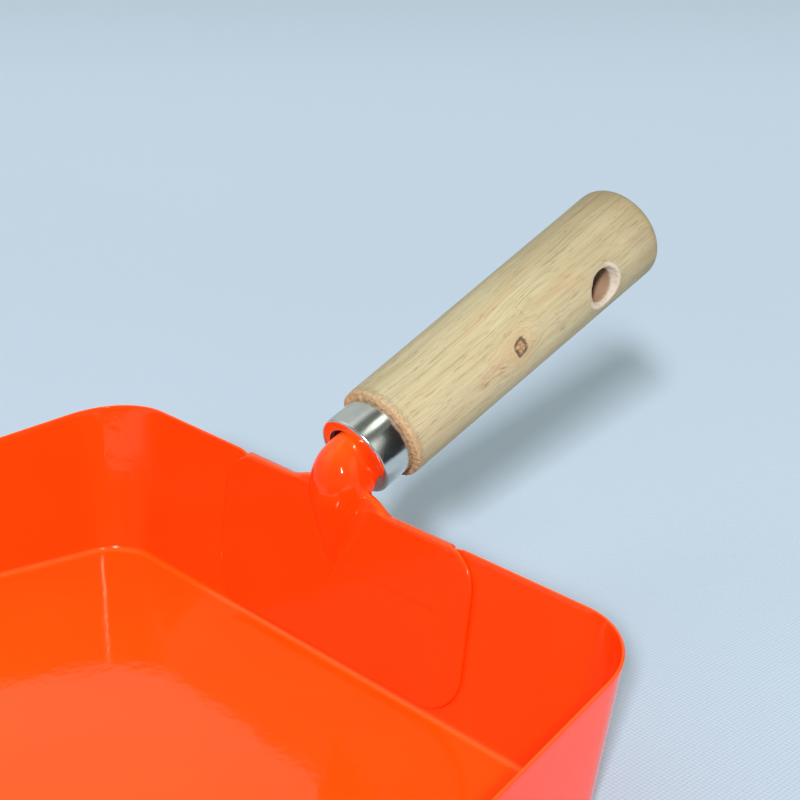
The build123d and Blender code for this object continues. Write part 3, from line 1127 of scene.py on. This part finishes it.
flat_sheet(
    "floor",
    [(a * FLOOR_HALF_WIDTH, b * FLOOR_HALF_WIDTH, 0) for a, b in SQUARE],
    cloth("backdrop_cloth").material,
)


def direction(azimuth, elevation):
    """Unit vector towards this azimuth, from -Y towards +X, and elevation, in degrees."""
    a, e = radians(azimuth), radians(elevation)
    return Vector((sin(a) * cos(e), -cos(a) * cos(e), sin(e)))


LIT_POINT = Vector((0, 0.15, 0.07))
KEY_COLOUR = (1.0, 0.965, 1.04)


def area_light(name, azimuth, elevation, distance, width, height, strength, colour):
    """Area light aimed at the object, its angular width and height in degrees.

    Strength is the light arriving at the object.
    """
    data = bpy.data.lights.new(name, "AREA")
    data.shape = "ELLIPSE"
    data.size = 2 * distance * tan(radians(width / 2))
    data.size_y = 2 * distance * tan(radians(height / 2))
    data.energy = strength * pi * distance**2
    data.color = colour
    lamp = bpy.data.objects.new(name, data)
    scene.collection.objects.link(lamp)
    towards = direction(azimuth, elevation)
    lamp.location = LIT_POINT + towards * distance
    lamp.rotation_mode = "QUATERNION"
    lamp.rotation_quaternion = towards.to_track_quat("Z", "Y")
    return lamp


def light_only(lamp, piece):
    """Let this lamp light one piece and nothing else."""
    receivers = bpy.data.collections.new(lamp.name + "_receivers")
    receivers.objects.link(piece)
    lamp.light_linking.receiver_collection = receivers


# Name, azimuth, elevation, distance, width, height, strength, colour.
area_light("key_left", 34.8, 31.2, 6.0, 3.2, 7.0, 2.05, KEY_COLOUR)
area_light("key_right", 37.8, 28.4, 6.0, 3.2, 7.0, 2.05, KEY_COLOUR)
area_light("overhead", 113.0, 69.0, 1.2, 18.0, 15.0, 0.13, (0.92, 1.0, 0.86))
glint = area_light("glint", 67.5, 44.8, 2.3, 2.0, 2.0, 1.0, (1.0, 0.98, 1.0))
light_only(glint, pan)
fill = area_light("fill", 118.0, 6.0, 1.6, 30.0, 14.0, 1.0, (1.0, 0.88, 0.85))
light_only(fill, handle)

SKY_LOW = (0.34, 0.36, 0.35, 1)
SKY_LOW_BEHIND = (0.36, 0.38, 0.37, 1)
SKY_HIGH = (0.97, 1.0, 0.95, 1)
# Dimmer round patches: azimuth, elevation, outer and inner radius in degrees, colour.
SKY_PATCHES = (
    (110, 72, 38, 20, (0.14, 0.15, 0.14, 1)),
    (-107, 38, 44, 20, (0.50, 0.53, 0.52, 1)),
    (25, 35, 58, 25, (0.22, 0.22, 0.22, 1)),
)


def studio_world():
    """Soft light from above, dimmer towards the horizon and in a few round patches."""
    world = bpy.data.worlds.new("studio")
    scene.world = world
    world.use_nodes = True
    nodes, links = world.node_tree.nodes, world.node_tree.links
    background = nodes["Background"]
    coordinates = nodes.new("ShaderNodeTexCoord")

    def mask(towards, low, high):
        """From 0 to 1 as the cosine of the angle to this direction goes from low to high."""
        turn = nodes.new("ShaderNodeVectorMath")
        turn.operation = "DOT_PRODUCT"
        links.new(coordinates.outputs["Generated"], turn.inputs[0])
        turn.inputs[1].default_value = towards
        share = nodes.new("ShaderNodeMapRange")
        share.interpolation_type = "SMOOTHSTEP"
        links.new(turn.outputs["Value"], share.inputs["Value"])
        share.inputs["From Min"].default_value = low
        share.inputs["From Max"].default_value = high
        return share.outputs[0]

    def blend(share, before, after):
        made = nodes.new("ShaderNodeMix")
        made.data_type = "RGBA"
        links.new(share, made.inputs["Factor"])
        for socket, value in ((made.inputs[6], before), (made.inputs[7], after)):
            if isinstance(value, bpy.types.NodeSocket):
                links.new(value, socket)
            else:
                socket.default_value = value
        return made.outputs[2]

    behind = mask(direction(-115, 5), cos(radians(60)), cos(radians(15)))
    climb = mask((0, 0, 1), sin(radians(10)), sin(radians(35)))
    sky = blend(climb, blend(behind, SKY_LOW, SKY_LOW_BEHIND), SKY_HIGH)
    for azimuth, elevation, outer, inner, colour in SKY_PATCHES:
        patch = mask(direction(azimuth, elevation), cos(radians(outer)), cos(radians(inner)))
        sky = blend(patch, sky, colour)
    links.new(sky, background.inputs["Color"])
    background.inputs["Strength"].default_value = 1.17


studio_world()


def dark_card(name, start, azimuth, elevation, distance, width, height):
    """A dark board seen only in reflections, facing a point of the object."""
    towards = direction(azimuth, elevation)
    centre = Vector(start) * MM + towards * distance
    turn = towards.to_track_quat("Z", "Y")
    shade = Shader(name)
    fuzz = shade.noise(shade.frame_vector(), 0.2, 2.0)
    colour = shade.mix(fuzz, (0.012, 0.013, 0.012, 1), (0.03, 0.03, 0.03, 1))
    shade.set(Base_Color=colour, Roughness=0.9)
    corners = [centre + turn @ Vector((a * width / 2, b * height / 2, 0)) for a, b in SQUARE]
    card = flat_sheet(name, corners, shade.material)
    card.visible_camera = False
    card.visible_diffuse = False
    card.visible_shadow = False
    card.visible_transmission = False


# Name, point faced, azimuth, elevation, distance, width, height.
dark_card("black_card", FERRULE_FRONT, 122, 16, 0.115, 0.062, 0.135)
dark_card("front_card", (-97.0, BACK, 40.0), 30, 0, 0.48, 0.40, 0.079)

CAMERA_AZIMUTH = 46.88
CAMERA_ELEVATION = 20.79
CAMERA_DISTANCE = 0.5213
CAMERA_TARGET = Vector((-0.075, 0.198, 0.0308))

camera_data = bpy.data.cameras.new("camera")
camera_data.lens = 68.2
camera_data.sensor_width = 36.0
camera_data.clip_start = 0.01
camera_data.clip_end = 50.0
camera = bpy.data.objects.new("camera", camera_data)
scene.collection.objects.link(camera)
back_to_camera = direction(CAMERA_AZIMUTH, CAMERA_ELEVATION)
camera.location = CAMERA_TARGET + back_to_camera * CAMERA_DISTANCE
camera.rotation_mode = "QUATERNION"
camera.rotation_quaternion = (-back_to_camera).to_track_quat("-Z", "Y")
scene.camera = camera

scene.view_settings.view_transform = "Standard"
scene.view_settings.look = "None"
scene.view_settings.exposure = 0.0
scene.view_settings.gamma = 1.0
